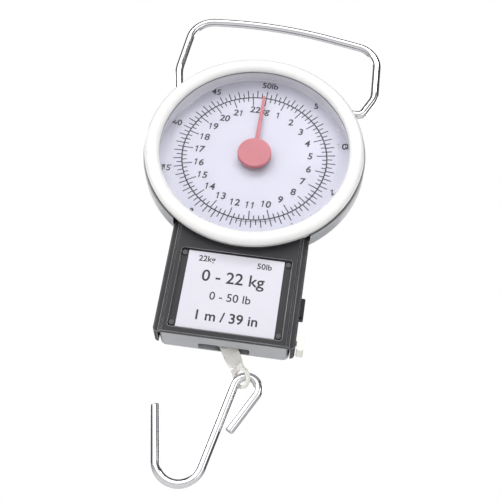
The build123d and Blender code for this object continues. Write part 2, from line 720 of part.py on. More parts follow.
with BuildPart() as tape_reel:
    with BuildSketch(facing(REEL_Y[1])):
        with Locations((REEL_X, REEL_Z)):
            Circle(REEL_CORE_R)
            Circle(REEL_CORE_R - 0.8, mode=Mode.SUBTRACT)
    extrude(amount=REEL_Y[1] - REEL_Y[0])
    for depth, bore in ((REEL_Y[1], AXLE_R + RUN_FIT), (REEL_Y[0] + 0.4, AXLE_R + RUN_FIT)):
        with BuildSketch(facing(depth)):
            with Locations((REEL_X, REEL_Z)):
                Circle(REEL_FLANGE_R)
                Circle(bore, mode=Mode.SUBTRACT)
        extrude(amount=0.4)
save(tape_reel.part, "tape_reel")


def spiral_strip(inner_r, pitch, turns, thickness, per_turn=16):
    """Flat spiral outline, such as a clock spring."""
    count = int(turns * per_turn)
    rays = [(inner_r + pitch * i / per_turn, 2 * pi * i / per_turn) for i in range(count + 1)]
    inner = [(r * cos(a), r * sin(a)) for r, a in rays]
    outer = [((r + thickness) * cos(a), (r + thickness) * sin(a)) for r, a in reversed(rays)]
    return make_face(Polyline(*inner, *outer, close=True))


clock_spring = spiral_strip(inner_r=1.75, pitch=0.55, turns=4, thickness=0.15)
with BuildPart() as tape_return_spring:
    with BuildSketch(facing(4.4)):
        with Locations((REEL_X, REEL_Z)):
            add(clock_spring)
    extrude(amount=3.8)
save(tape_return_spring.part, "tape_return_spring")

with BuildPart() as tape_coil:
    with BuildSketch(facing(TAPE_Y + TAPE_W / 2)):
        with Locations((REEL_X, REEL_Z)):
            Circle(COIL_R)
            Circle(REEL_CORE_R, mode=Mode.SUBTRACT)
    extrude(amount=TAPE_W)
save(tape_coil.part, "tape_coil")

with BuildPart() as tape_strip:
    with BuildSketch(facing(TAPE_Y + TAPE_W / 2)):
        with Locations(((STRIP_START + TAB_X[0] + 1.2) / 2, TAPE_Z)):
            Rectangle(TAB_X[0] + 1.2 - STRIP_START, TAPE_T)
    extrude(amount=TAPE_W)
save(tape_strip.part, "tape_strip")

with BuildPart() as tape_end_tab:
    with BuildSketch(facing(TAPE_Y + 3.3)):
        with Locations((sum(TAB_X) / 2, sum(TAB_Z) / 2)):
            RectangleRounded(TAB_X[1] - TAB_X[0], TAB_Z[1] - TAB_Z[0], 0.8)
    extrude(amount=6.6)
    with BuildSketch(facing(TAPE_Y + TAPE_W / 2)):
        with Locations((TAB_X[0] + 0.6, TAPE_Z)):
            Rectangle(1.2, TAPE_T)
    extrude(amount=TAPE_W, mode=Mode.SUBTRACT)
save(tape_end_tab.part, "tape_end_tab")

with BuildPart() as tape_mouth:
    with BuildSketch(across(BOX_HALF - WALL)):
        with Locations((TAPE_Y, TAPE_Z)):
            Rectangle(6.2, 4.2)
    extrude(amount=COVER_HALF - BOX_HALF + WALL)
    with BuildSketch(across(BOX_HALF - WALL)):
        with Locations((TAPE_Y, TAPE_Z)):
            Rectangle(5.0, 1.0)
    extrude(amount=6, mode=Mode.SUBTRACT)
save(tape_mouth.part, "tape_mouth")

# Push button on the right side that holds the tape where it is.
with BuildPart() as lock_button:
    with BuildSketch(across(BOX_HALF - WALL - 0.6)):
        with Locations((BUTTON_Y, sum(BUTTON_Z) / 2)):
            RectangleRounded(4.4, BUTTON_Z[1] - BUTTON_Z[0], 1.2)
    extrude(amount=BUTTON_OUT - BOX_HALF + WALL + 0.6)
    fillet(lock_button.faces().sort_by(Axis.X)[-1].edges(), radius=0.5)
    with BuildSketch(across(BOX_HALF - WALL - 1.4)):
        with Locations((BUTTON_Y, sum(BUTTON_Z) / 2)):
            Rectangle(4.4, 10.4)
    extrude(amount=0.8)
save(lock_button.part, "lock_button")

with BuildPart() as lock_spring:
    spring_foot = Vector(LOCK_STOP_X + 1.6, DIAL_Y + BUTTON_Y, DIAL_Z + sum(BUTTON_Z) / 2)
    with BuildLine() as lock_wire:
        Helix(pitch=0.8, height=4.0, radius=1.4, center=spring_foot, direction=(1, 0, 0))
    with BuildSketch(Plane(origin=lock_wire.line @ 0, z_dir=lock_wire.line % 0)):
        Circle(0.2)
    sweep(path=lock_wire.line, is_frenet=True)
save(lock_spring.part, "lock_spring")

# ------------------------------------------------------------------ fixings
with BuildPart() as case_screws:
    with BuildSketch(facing(11.6)):
        with Locations(*SCREW_POSTS):
            Circle(2.0)
    extrude(amount=0.8)
    with BuildSketch(facing(11.0)):
        with Locations(*SCREW_POSTS):
            Circle(1.0)
    extrude(amount=11.5)
    with BuildSketch(facing(11.7)):
        with Locations(*SCREW_POSTS):
            Rectangle(2.6, 0.5)
            Rectangle(0.5, 2.6)
    extrude(amount=0.5, mode=Mode.SUBTRACT)
save(case_screws.part, "case_screws")
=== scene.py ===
import json
from math import cos, pi, radians, sin, tan

import bmesh
import bpy
from mathutils import Matrix, Vector


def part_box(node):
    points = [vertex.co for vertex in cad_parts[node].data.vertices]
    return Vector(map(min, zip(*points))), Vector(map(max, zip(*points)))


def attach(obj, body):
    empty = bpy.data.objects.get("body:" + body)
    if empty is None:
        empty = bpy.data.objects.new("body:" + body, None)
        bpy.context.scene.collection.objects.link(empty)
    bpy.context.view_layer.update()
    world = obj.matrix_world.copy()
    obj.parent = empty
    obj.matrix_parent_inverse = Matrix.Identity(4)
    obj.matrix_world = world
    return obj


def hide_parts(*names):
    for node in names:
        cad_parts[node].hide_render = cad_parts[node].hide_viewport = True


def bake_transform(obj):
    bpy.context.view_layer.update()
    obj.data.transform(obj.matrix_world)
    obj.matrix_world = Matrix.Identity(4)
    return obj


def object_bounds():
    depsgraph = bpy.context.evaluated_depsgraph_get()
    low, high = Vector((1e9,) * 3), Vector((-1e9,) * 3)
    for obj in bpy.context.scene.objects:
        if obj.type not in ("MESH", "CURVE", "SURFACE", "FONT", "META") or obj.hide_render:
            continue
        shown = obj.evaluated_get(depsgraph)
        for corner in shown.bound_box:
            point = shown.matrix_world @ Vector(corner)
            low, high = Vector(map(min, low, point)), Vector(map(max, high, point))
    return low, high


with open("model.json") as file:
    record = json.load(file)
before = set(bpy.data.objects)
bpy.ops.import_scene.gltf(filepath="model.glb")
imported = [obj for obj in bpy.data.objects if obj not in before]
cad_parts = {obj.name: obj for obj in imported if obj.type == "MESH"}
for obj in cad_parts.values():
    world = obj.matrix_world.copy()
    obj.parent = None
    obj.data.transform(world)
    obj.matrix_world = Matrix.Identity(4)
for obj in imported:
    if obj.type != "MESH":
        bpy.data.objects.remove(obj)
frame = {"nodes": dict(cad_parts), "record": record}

cad_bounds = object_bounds()
nodes = frame["nodes"]
MM = 0.001

# ------------------------------------------------------------------- places
# Everything is laid out from the centre of the dial's face, in millimetres:
# x to the right, y into the dial, z up.
dial_low, dial_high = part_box("dial_plate")
DIAL = Vector((0, dial_low.y, (dial_low.z + dial_high.z) / 2))


def at(x, y, z):
    """A point in the row frame, from millimetres about the dial's centre."""
    return DIAL + Vector((x, y, z)) * MM


def place(node):
    """Lowest and highest corners of a CAD node, in millimetres about the dial's centre."""
    low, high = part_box(node)
    return (low - DIAL) / MM, (high - DIAL) / MM


# ---------------------------------------------------------------- materials
def link(tree, source, target):
    tree.links.new(source, target)


def noise(tree, coords, scale, detail=4.0, roughness=0.55, stretch=(1, 1, 1)):
    """Noise in object coordinates; scale counts features to the metre."""
    mapping = tree.nodes.new("ShaderNodeMapping")
    mapping.inputs["Scale"].default_value = stretch
    link(tree, coords, mapping.inputs["Vector"])
    texture = tree.nodes.new("ShaderNodeTexNoise")
    texture.inputs["Scale"].default_value = scale
    texture.inputs["Detail"].default_value = detail
    texture.inputs["Roughness"].default_value = roughness
    link(tree, mapping.outputs["Vector"], texture.inputs["Vector"])
    return texture.outputs["Fac"]


def spread(tree, value, low, high, from_low=0.3, from_high=0.7):
    """Maps a noise value to a range."""
    node = tree.nodes.new("ShaderNodeMapRange")
    node.inputs["From Min"].default_value = from_low
    node.inputs["From Max"].default_value = from_high
    node.inputs["To Min"].default_value = low
    node.inputs["To Max"].default_value = high
    link(tree, value, node.inputs["Value"])
    return node.outputs["Result"]


def blend_colours(tree, factor, first, second):
    """Mixes two colours by a factor; either may be a value or a socket."""
    node = tree.nodes.new("ShaderNodeMix")
    node.data_type = "RGBA"
    for name, colour in (("A", first), ("B", second)):
        socket = [s for s in node.inputs if s.name == name and s.type == "RGBA"][0]
        if isinstance(colour, tuple):
            socket.default_value = (*colour, 1)
        else:
            link(tree, colour, socket)
    factor_in = [s for s in node.inputs if s.name == "Factor" and s.type == "VALUE"][0]
    link(tree, factor, factor_in)
    return [s for s in node.outputs if s.type == "RGBA"][0]


def shade(colour, by):
    return tuple(min(1.0, c * by) for c in colour)


EDGE_RANGE = (0.80, 0.97)    # how far the rounded normal turns from the flat one where edge wear and painted edge highlights show
PAINTED_SHADE_RANGE = (0.35, 0.80)    # how closed in a place must be before painted shade darkens it
PAINTED_SHADE_DARKNESS = 0.06            # how dark the painted shade in gaps and corners is beside the finish


def surface(
    name, colour, roughness, metallic=0.0, grain=900.0, grain_depth=0.02, patch=45.0,
    patch_colour=None, stretch=(1, 1, 1), edge_wear_and_highlight=None, edge_wear_and_highlight_amount=0.0, edge=0.0,
    coat=0.0, specular=0.5, painted_shade_reach=0.0,
):
    """One procedural finish.

    roughness is a range that a fine noise moves through; grain is the bump's
    features to the metre and grain_depth its height in millimetres; patch is the
    slow drift of colour, towards patch_colour; the edge colour is painted along
    the edges, partly as wear and partly as a painted highlight where it is much
    lighter than the finish; edge rounds sharp edges by that many millimetres; the
    painted shade reach is how far ambient occlusion paints shade into gaps,
    corners and recesses, in millimetres.
    """
    mat = bpy.data.materials.new(name)
    mat.use_nodes = True
    tree = mat.node_tree
    shader = tree.nodes["Principled BSDF"]
    coords = tree.nodes.new("ShaderNodeTexCoord").outputs["Object"]
    shader.inputs["Metallic"].default_value = metallic
    shader.inputs["Coat Weight"].default_value = coat
    shader.inputs["Specular IOR Level"].default_value = specular
    fine = noise(tree, coords, grain, stretch=stretch)
    slow = noise(tree, coords, patch, detail=3.0)
    base = blend_colours(
        tree, spread(tree, slow, 0.0, 1.0), colour, patch_colour or shade(colour, 0.93)
    )
    speckle = noise(tree, coords, grain * 0.55, detail=2.0)
    base = blend_colours(tree, spread(tree, speckle, 0.0, 0.25), base, shade(colour, 1.08))
    rounded_edge = None
    if edge:
        rounded_edge = tree.nodes.new("ShaderNodeBevel")
        rounded_edge.samples = 6
        rounded_edge.inputs["Radius"].default_value = edge * MM
    # the edge colour is painted along sharp edges: partly wear, and a painted highlight where it is much
    # lighter than the finish, as on the black cover, plugs and button
    if edge_wear_and_highlight:
        facing = tree.nodes.new("ShaderNodeNewGeometry")
        near_edge = tree.nodes.new("ShaderNodeVectorMath")
        near_edge.operation = "DOT_PRODUCT"
        link(tree, rounded_edge.outputs["Normal"], near_edge.inputs[0])
        link(tree, facing.outputs["Normal"], near_edge.inputs[1])
        ragged = tree.nodes.new("ShaderNodeMath")
        ragged.operation = "MULTIPLY"
        edge_share = spread(tree, near_edge.outputs["Value"], edge_wear_and_highlight_amount, 0.0, *EDGE_RANGE)
        link(tree, edge_share, ragged.inputs[0])
        link(tree, spread(tree, slow, 0.45, 1.0), ragged.inputs[1])
        base = blend_colours(tree, ragged.outputs["Value"], base, edge_wear_and_highlight)
    # painted shade: ambient occlusion darkens the colour in gaps, corners and recesses, where shade
    # falls
    if painted_shade_reach:
        ao_shade = tree.nodes.new("ShaderNodeAmbientOcclusion")
        ao_shade.samples = 6
        ao_shade.inputs["Distance"].default_value = painted_shade_reach * MM
        unshaded = spread(tree, ao_shade.outputs["AO"], 0.0, 1.0, *PAINTED_SHADE_RANGE)
        base = blend_colours(tree, unshaded, shade(colour, PAINTED_SHADE_DARKNESS), base)
    link(tree, base, shader.inputs["Base Color"])
    smudge = noise(tree, coords, patch * 2.3, detail=5.0, roughness=0.65)
    both = tree.nodes.new("ShaderNodeMath")
    both.operation = "ADD"
    link(tree, spread(tree, smudge, 0.0, 0.6), both.inputs[0])
    link(tree, spread(tree, fine, 0.0, 0.4), both.inputs[1])
    link(tree, spread(tree, both.outputs["Value"], *roughness, 0.0, 1.0), shader.inputs["Roughness"])
    bump = tree.nodes.new("ShaderNodeBump")
    bump.inputs["Strength"].default_value = 1.0
    bump.inputs["Distance"].default_value = grain_depth * MM
    link(tree, fine, bump.inputs["Height"])
    if rounded_edge:
        link(tree, rounded_edge.outputs["Normal"], bump.inputs["Normal"])
    link(tree, bump.outputs["Normal"], shader.inputs["Normal"])
    return mat


def clear_plastic(name):
    """Moulded clear styrene: faint haze, and lamps shine through it."""
    mat = surface(name, (0.97, 0.98, 0.99), (0.015, 0.06), grain=260.0, grain_depth=0.004, patch=30.0)
    tree = mat.node_tree
    shader = tree.nodes["Principled BSDF"]
    shader.inputs["Transmission Weight"].default_value = 1.0
    shader.inputs["IOR"].default_value = 1.2
    paths = tree.nodes.new("ShaderNodeLightPath")
    through = tree.nodes.new("ShaderNodeBsdfTransparent")
    through.inputs["Color"].default_value = (0.97, 0.98, 0.985, 1)
    mix = tree.nodes.new("ShaderNodeMixShader")
    link(tree, paths.outputs["Is Shadow Ray"], mix.inputs["Fac"])
    link(tree, shader.outputs["BSDF"], mix.inputs[1])
    link(tree, through.outputs["BSDF"], mix.inputs[2])
    link(tree, mix.outputs["Shader"], tree.nodes["Material Output"].inputs["Surface"])
    return mat


FINISH = {
    "chrome_wire": surface(
        "bright_plated_wire", (0.74, 0.74, 0.76), (0.04, 0.13), metallic=1.0, grain=1500.0,
        grain_depth=0.006, patch=60.0, patch_colour=(0.72, 0.72, 0.75),
    ),
    "case_grey": surface(
        "case_grey_plastic", (0.50, 0.51, 0.53), (0.34, 0.52), grain=2600.0, grain_depth=0.018,
        patch=28.0, patch_colour=(0.44, 0.45, 0.47), edge_wear_and_highlight=(0.60, 0.61, 0.62),
        edge_wear_and_highlight_amount=0.4, edge=0.25, painted_shade_reach=5.0,
    ),
    # its near-white edge colour paints highlights along the cover's edges and ridges
    "cover_black": surface(
        "cover_black_plastic", (0.024, 0.024, 0.028), (0.30, 0.46), grain=2400.0, grain_depth=0.016,
        patch=35.0, patch_colour=(0.034, 0.034, 0.038), edge_wear_and_highlight=(0.75, 0.75, 0.77),
        edge_wear_and_highlight_amount=1.0, edge=0.5, specular=0.35, painted_shade_reach=1.2,
    ),
    "plug_grey": surface(
        "plug_plastic", (0.07, 0.07, 0.075), (0.2, 0.4), grain=2200.0, grain_depth=0.02, edge=0.12,
        edge_wear_and_highlight=(0.55, 0.55, 0.57), edge_wear_and_highlight_amount=0.7,
    ),
    "label_paper": surface(
        "label_card", (0.70, 0.69, 0.76), (0.42, 0.60), grain=3200.0, grain_depth=0.010,
        patch=40.0, patch_colour=(0.72, 0.71, 0.78), edge=0.05,
    ),
    "bezel_white": surface(
        "bezel_white_plastic", (0.92, 0.912, 0.90), (0.14, 0.28), grain=900.0, grain_depth=0.006,
        patch=26.0, patch_colour=(0.90, 0.892, 0.875), coat=0.25, painted_shade_reach=0.8,
    ),
    "lens_clear": clear_plastic("clear_lens"),
    "retainer_white": surface(
        "retainer_plastic", (0.80, 0.79, 0.82), (0.35, 0.5), grain=1800.0, grain_depth=0.01,
    ),
    "dial_white": surface(
        "dial_enamel", (0.575, 0.558, 0.645), (0.36, 0.52), grain=2800.0, grain_depth=0.006,
        patch=32.0, patch_colour=(0.555, 0.538, 0.625),
    ),
    "plated_steel": surface(
        "zinc_plated_steel", (0.60, 0.60, 0.61), (0.22, 0.44), metallic=1.0, grain=1400.0,
        grain_depth=0.01, patch=90.0, patch_colour=(0.52, 0.52, 0.54), edge=0.1,
    ),
    "spring_steel": surface(
        "oiled_spring_steel", (0.42, 0.42, 0.43), (0.18, 0.36), metallic=1.0, grain=2400.0,
        grain_depth=0.006, patch=120.0, patch_colour=(0.34, 0.33, 0.33),
    ),
    "gear_brass": surface(
        "cut_brass", (0.70, 0.52, 0.24), (0.20, 0.38), metallic=1.0, grain=1800.0,
        grain_depth=0.01, patch=110.0, patch_colour=(0.60, 0.43, 0.20), edge=0.05,
    ),
    "bearing_plastic": surface(
        "nylon", (0.76, 0.75, 0.70), (0.32, 0.5), grain=2000.0, grain_depth=0.012, edge=0.08,
    ),
    "pointer_red": surface(
        "pointer_salmon_plastic", (0.52, 0.145, 0.17), (0.30, 0.46), grain=1700.0, grain_depth=0.012,
        patch=110.0, patch_colour=(0.485, 0.132, 0.155), edge=0.08,
    ),
    "link_cream": surface(
        "link_cream_enamel", (0.93, 0.915, 0.87), (0.24, 0.42), grain=1600.0,
        grain_depth=0.01, patch=140.0, patch_colour=(0.90, 0.88, 0.82), edge_wear_and_highlight=(0.10, 0.09, 0.08),
        edge_wear_and_highlight_amount=0.5, edge=0.12,
    ),
    "tape_steel": surface(
        "tape_cream", (0.86, 0.80, 0.55), (0.35, 0.55), grain=3000.0, grain_depth=0.02,
        patch=80.0, patch_colour=(0.82, 0.75, 0.48),
    ),
    "reel_white": surface(
        "reel_plastic", (0.78, 0.78, 0.76), (0.3, 0.5), grain=1800.0, grain_depth=0.012, edge=0.08,
    ),
    "axle_steel": surface(
        "turned_steel", (0.58, 0.58, 0.59), (0.16, 0.34), metallic=1.0, grain=1200.0,
        grain_depth=0.008, stretch=(1, 6, 1),
    ),
    "tab_cream": surface(
        "tab_cream_plastic", (0.92, 0.91, 0.86), (0.3, 0.48), grain=1900.0, grain_depth=0.014,
        patch=90.0, patch_colour=(0.89, 0.87, 0.81), edge=0.15,
    ),
    "button_black": surface(
        "button_black_plastic", (0.012, 0.012, 0.014), (0.28, 0.46), grain=2100.0, grain_depth=0.016,
        edge_wear_and_highlight=(0.15, 0.15, 0.16), edge_wear_and_highlight_amount=0.4, edge=0.12, specular=0.35,
    ),
}
INK = surface(
    "black_ink", (0.018, 0.017, 0.022), (0.38, 0.58), grain=3600.0, grain_depth=0.004,
    patch=160.0, patch_colour=(0.03, 0.029, 0.036),
)

for sub in frame["record"]["subparts"]:
    slots = nodes[sub["node"]].data.materials
    finish = FINISH[sub["material_slot"]]
    if len(slots):
        slots[0] = finish
    else:
        slots.append(finish)


# ------------------------------------------------------------- mesh helpers
CREASE = 38.0            # edges that turn by more degrees than this stay crisp
SAME_POINT = 1e-7


def add_piece(name, verts, faces, finish, body, slot, replaces=()):
    """A mesh piece, its faces turned outward, riding on a CAD body.

    body is None for a piece that is attached to no body.
    """
    mesh = bpy.data.meshes.new(name)
    mesh.from_pydata(verts, [], faces)
    whole = bmesh.new()
    whole.from_mesh(mesh)
    bmesh.ops.remove_doubles(whole, verts=whole.verts, dist=SAME_POINT)
    bmesh.ops.recalc_face_normals(whole, faces=whole.faces)
    whole.to_mesh(mesh)
    whole.free()
    for polygon in mesh.polygons:
        polygon.use_smooth = True
    mesh.set_sharp_from_angle(angle=radians(CREASE))
    mesh.materials.append(finish)
    piece = bpy.data.objects.new(name, mesh)
    bpy.context.scene.collection.objects.link(piece)
    if body:
        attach(piece, body)
    if replaces:
        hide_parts(*replaces)
    return piece


def rounded(outline, radius, steps=5):
    """A closed outline with each corner turned by a small arc."""
    result = []
    count = len(outline)
    for i, corner in enumerate(outline):
        here = Vector(corner)
        back, ahead = Vector(outline[i - 1]) - here, Vector(outline[(i + 1) % count]) - here
        turn = pi - back.angle(ahead)
        if turn < radians(8):
            result.append(tuple(here))
            continue
        reach = min(radius * tan(turn / 2), 0.45 * back.length, 0.45 * ahead.length)
        first, last = here + back.normalized() * reach, here + ahead.normalized() * reach
        for k in range(steps + 1):
            t = k / steps
            result.append(tuple(first * (1 - t) ** 2 + here * 2 * t * (1 - t) + last * t * t))
    return result


LATHE_TURNS = 256


def lathe(name, outline, finish, body, slot, replaces=()):
    """A closed (radius, depth) outline in millimetres, turned about the dial's axis."""
    turns = LATHE_TURNS
    on_axis = [i for i, (r, _) in enumerate(outline) if r < 1e-6]
    verts, rings = [], []
    for i, (r, y) in enumerate(outline):
        if i in on_axis:
            rings.append([len(verts)] * turns)
            verts.append(at(0, y, 0))
            continue
        rings.append(list(range(len(verts), len(verts) + turns)))
        for k in range(turns):
            a = 2 * pi * k / turns
            verts.append(at(r * cos(a), y, r * sin(a)))
    faces = []
    for i in range(len(outline)):
        one, two = rings[i], rings[(i + 1) % len(outline)]
        if one[0] == one[-1] and two[0] == two[-1]:
            continue
        for k in range(turns):
            n = (k + 1) % turns
            corners = (one[k], one[n], two[n], two[k])
            faces.append(tuple(dict.fromkeys(corners)))
    return add_piece(name, verts, faces, finish, body, slot, replaces)


def tube_mesh(path, radius, around, tip):
    """Vertices and faces of a wire along a path of points in metres, with eased ends."""
    radius_m, tip_m = radius * MM, tip * MM
    tangents = []
    for i in range(len(path)):
        ahead, behind = path[min(i + 1, len(path) - 1)], path[max(i - 1, 0)]
        tangents.append((ahead - behind).normalized())
    side = tangents[0].orthogonal().normalized()
    verts, faces = [], []
    stations = [
        (path[0], tangents[0], radius_m - tip_m),
        (path[0] + tangents[0] * tip_m, tangents[0], radius_m),
    ]
    stations += [(p, t, radius_m) for p, t in zip(path[1:-1], tangents[1:-1])]
    stations += [
        (path[-1] - tangents[-1] * tip_m, tangents[-1], radius_m),
        (path[-1], tangents[-1], radius_m - tip_m),
    ]
    for centre, tangent, r in stations:
        side = (side - tangent * side.dot(tangent)).normalized()
        other = tangent.cross(side)
        for k in range(around):
            a = 2 * pi * k / around
            verts.append(centre + (side * cos(a) + other * sin(a)) * r)
    for i in range(len(stations) - 1):
        for k in range(around):
            n = (k + 1) % around
            a, b = i * around, (i + 1) * around
            faces.append((a + k, a + n, b + n, b + k))
    last = (len(stations) - 1) * around
    faces.append(tuple(reversed(range(around))))
    faces.append(tuple(range(last, last + around)))
    return verts, faces


# ------------------------------------------------------------------- print
PRINT_LIFT = 0.02        # how far the ink stands on what it is printed on
PRINT_DEPTH = 0.02
DIAL_PRINT_TURN = 1.8    # the printed dial sits this many degrees clockwise in the case


def bar(centre, along, length, width, surface_y):
    """Corners and faces of a short printed bar in the dial's plane, millimetres."""
    cx, cz = centre
    ux, uz = along
    corners = []
    for s, w in ((-0.5, -0.5), (0.5, -0.5), (0.5, 0.5), (-0.5, 0.5)):
        corners.append((cx + ux * length * s - uz * width * w, cz + uz * length * s + ux * width * w))
    front, back = surface_y - PRINT_LIFT - PRINT_DEPTH, surface_y - PRINT_LIFT
    verts = [at(x, front, z) for x, z in corners] + [at(x, back, z) for x, z in corners]
    faces = [(0, 1, 2, 3), (7, 6, 5, 4), (0, 4, 5, 1), (1, 5, 6, 2), (2, 6, 7, 3), (3, 7, 4, 0)]
    return verts, faces


def on_dial(radius, degrees):
    """A place on the printed dial: degrees run clockwise from its zero."""
    a = radians(degrees + DIAL_PRINT_TURN)
    return radius * sin(a), radius * cos(a)


def ring_band(inner, outer, surface_y, turns=240):
    """A printed circle line."""
    verts, faces = [], []
    front, back = surface_y - PRINT_LIFT - PRINT_DEPTH, surface_y - PRINT_LIFT
    for r, y in ((inner, front), (outer, front), (outer, back), (inner, back)):
        for k in range(turns):
            a = 2 * pi * k / turns
            verts.append(at(r * sin(a), y, r * cos(a)))
    for ring in range(4):
        for k in range(turns):
            n = (k + 1) % turns
            a, b = ring * turns, ((ring + 1) % 4) * turns
            faces.append((a + k, b + k, b + n, a + n))
    return verts, faces


def join(parts):
    """Several (verts, faces) as one."""
    verts, faces = [], []
    for part_verts, part_faces in parts:
        start = len(verts)
        verts += part_verts
        faces += [tuple(start + i for i in face) for face in part_faces]
    return verts, faces


CAP_HEIGHT = 0.70        # height of a capital in the built-in font, as a share of its size


def words(text, centre, height, surface_y, slant=0.0, weight=0.0):
    """Plain printed characters facing -Y, centred on a point, height in millimetres."""
    curve = bpy.data.curves.new("print", "FONT")
    curve.body = text
    curve.size = height / CAP_HEIGHT * MM
    curve.shear = slant
    curve.offset = weight * MM
    curve.extrude = PRINT_DEPTH / 2 * MM
    curve.resolution_u = 4
    holder = bpy.data.objects.new("print", curve)
    bpy.context.scene.collection.objects.link(holder)
    bpy.context.view_layer.update()
    solid = holder.evaluated_get(bpy.context.evaluated_depsgraph_get())
    mesh = bpy.data.meshes.new_from_object(solid)
    xs, ys = [v.co.x for v in mesh.vertices], [v.co.y for v in mesh.vertices]
    middle = Vector(((min(xs) + max(xs)) / 2, (min(ys) + max(ys)) / 2, 0))
    stand = Matrix.Rotation(radians(90), 3, "X")
    place_at = at(centre[0], surface_y - PRINT_LIFT - PRINT_DEPTH / 2, centre[1])
    verts = [place_at + stand @ (v.co - middle) for v in mesh.vertices]
    faces = [tuple(p.vertices) for p in mesh.polygons]
    bpy.data.objects.remove(holder)
    return verts, faces


# outline of a one with a flag, in digit heights
ONE = [
    (0.09, -0.5), (0.09, 0.5), (-0.04, 0.5), (-0.25, 0.31), (-0.25, 0.16), (-0.07, 0.27), (-0.07, -0.5),
]
DIGIT_STEP = 0.74        # from one digit to the next, in digit heights


def figures(text, centre, height, surface_y, slant=0.0, weight=0.0):
    """A printed whole number, digit by digit; its ones have a flag."""
    parts = []
    for i, digit in enumerate(text):
        x = centre[0] + (i - (len(text) - 1) / 2) * DIGIT_STEP * height
        if digit != "1":
            parts.append(words(digit, (x, centre[1]), height, surface_y, slant, weight))
            continue
        verts = []
        for y in (surface_y - PRINT_LIFT - PRINT_DEPTH, surface_y - PRINT_LIFT):
            verts += [at(x + (u + slant * v) * height, y, centre[1] + v * height) for u, v in ONE]
        n = len(ONE)
        faces = [tuple(range(n)), tuple(reversed(range(n, 2 * n)))]
        faces += [(k, (k + 1) % n, n + (k + 1) % n, n + k) for k in range(n)]
        parts.append((verts, faces))
    return join(parts)


# Full circle is 50 lb, and 22 kg ends a little short of it.
FULL_LB, FULL_KG, KG_ROUND = 50, 22, 22.68
LB_DEGREES = 360.0 / FULL_LB
KG_DEGREES = 360.0 / KG_ROUND
ARC_R = 28.7                          # the circle between the two scales
LINE, ARC_LINE = 0.42, 0.52           # printed line widths
LB_WHOLE_R, LB_HALF_R = 32.1, 30.9    # where the pound ticks end
KG_WHOLE_R, KG_QUARTER_R = 24.7, 26.8
KG_NUMBER_R, KG_HEIGHT, KG_SLANT = 22.1, 2.9, 0.1
LB_NUMBER_R, LB_HEIGHT = 35.2, 2.7


def tick(degrees, tip_r):
    """A line across the dial from the circle to tip_r."""
    middle = on_dial((ARC_R + tip_r) / 2, degrees)
    return bar(middle, on_dial(1, degrees), abs(tip_r - ARC_R), LINE, 0.0)


def dial_ticks():
    parts = [ring_band(ARC_R - ARC_LINE / 2, ARC_R + ARC_LINE / 2, 0.0)]
    for half in range(2 * FULL_LB):
        parts.append(tick(half * LB_DEGREES / 2, LB_HALF_R if half % 2 else LB_WHOLE_R))
    for quarter in range(4 * FULL_KG + 1):
        parts.append(tick(quarter * KG_DEGREES / 4, KG_QUARTER_R if quarter % 4 else KG_WHOLE_R))
    return parts


def dial_numbers():
    parts = []
    for kg in range(1, FULL_KG):
        centre = on_dial(KG_NUMBER_R, kg * KG_DEGREES)
        parts.append(figures(str(kg), centre, KG_HEIGHT, 0.0, slant=KG_SLANT, weight=0.10))
    centre = on_dial(KG_NUMBER_R, -4.0)
    parts.append(words("22kg", centre, KG_HEIGHT, 0.0, slant=KG_SLANT, weight=0.09))
    for lb in range(5, FULL_LB, 5):
        centre = on_dial(LB_NUMBER_R, lb * LB_DEGREES)
        parts.append(figures(str(lb), centre, LB_HEIGHT, 0.0, weight=0.08))
    parts.append(words("50lb", on_dial(LB_NUMBER_R, 1.0), LB_HEIGHT, 0.0, weight=0.08))
    return parts


def add_dial_print():
    add_piece("dial_scale_marks", *join(dial_ticks()), INK, "housing", "dial_white")
    add_piece("dial_numerals", *join(dial_numbers()), INK, "housing", "dial_white")


def add_label_print():
    """Generic capacity figures only."""
    low, high = place("label_card")
    face_y, mid_x = low.y, (low.x + high.x) / 2
    width, height = high.x - low.x, high.z - low.z
    # text, its place from the card's middle in card widths and heights, its height, its weight
    rows = [
        ("22kg", -0.30, 0.40, 2.3, 0.05),
        ("50lb", 0.30, 0.40, 2.3, 0.05),
        ("0 - 22 kg", 0.0, 0.17, 4.6, 0.07),
        ("0 - 50 lb", 0.0, -0.06, 3.2, 0.03),
        ("1 m / 39 in", 0.0, -0.32, 3.8, 0.09),
    ]
    parts = []
    for text, across, up, size, weight in rows:
        centre = (mid_x + across * width, low.z + (0.5 + up) * height)
        parts.append(words(text, centre, size, face_y, weight=weight))
    add_piece("label_print", *join(parts), INK, "housing", "label_paper")


# ---------------------------------------------------------- bezel and glass
# Radii and depths in millimetres about the dial's centre.
OPENING_R, CREST_R = 37.1, 40.3
CROWN_FOOT_Y = -6.3          # where the bezel's rounded crown begins
LIP_Y = -5.9                 # the bezel's lip, which the lens's flange meets
SPIGOT_IN_R, SPIGOT_OUT_R, SPIGOT_Y = 39.45, 41.75, -4.7
CROWN_STEPS = 16


def add_bezel():
    low, high = place("bezel_ring")
    outer, front, back = high.x, low.y, high.y
    crown = []
    for k in range(CROWN_STEPS + 1):
        a = pi * k / CROWN_STEPS
        side = (outer - CREST_R) if cos(a) > 0 else (CREST_R - OPENING_R)
        crown.append((CREST_R + side * cos(a), CROWN_FOOT_Y + (front - CROWN_FOOT_Y) * sin(a)))
    body = [
        (SPIGOT_IN_R, LIP_Y), (SPIGOT_IN_R, back), (SPIGOT_OUT_R, back),
        (SPIGOT_OUT_R, SPIGOT_Y), (outer, SPIGOT_Y),
    ]
    outline = rounded(body, 0.2) + crown + [(OPENING_R, LIP_Y)]
    lathe("bezel", outline, FINISH["bezel_white"], "housing", "bezel_white", ("bezel_ring",))


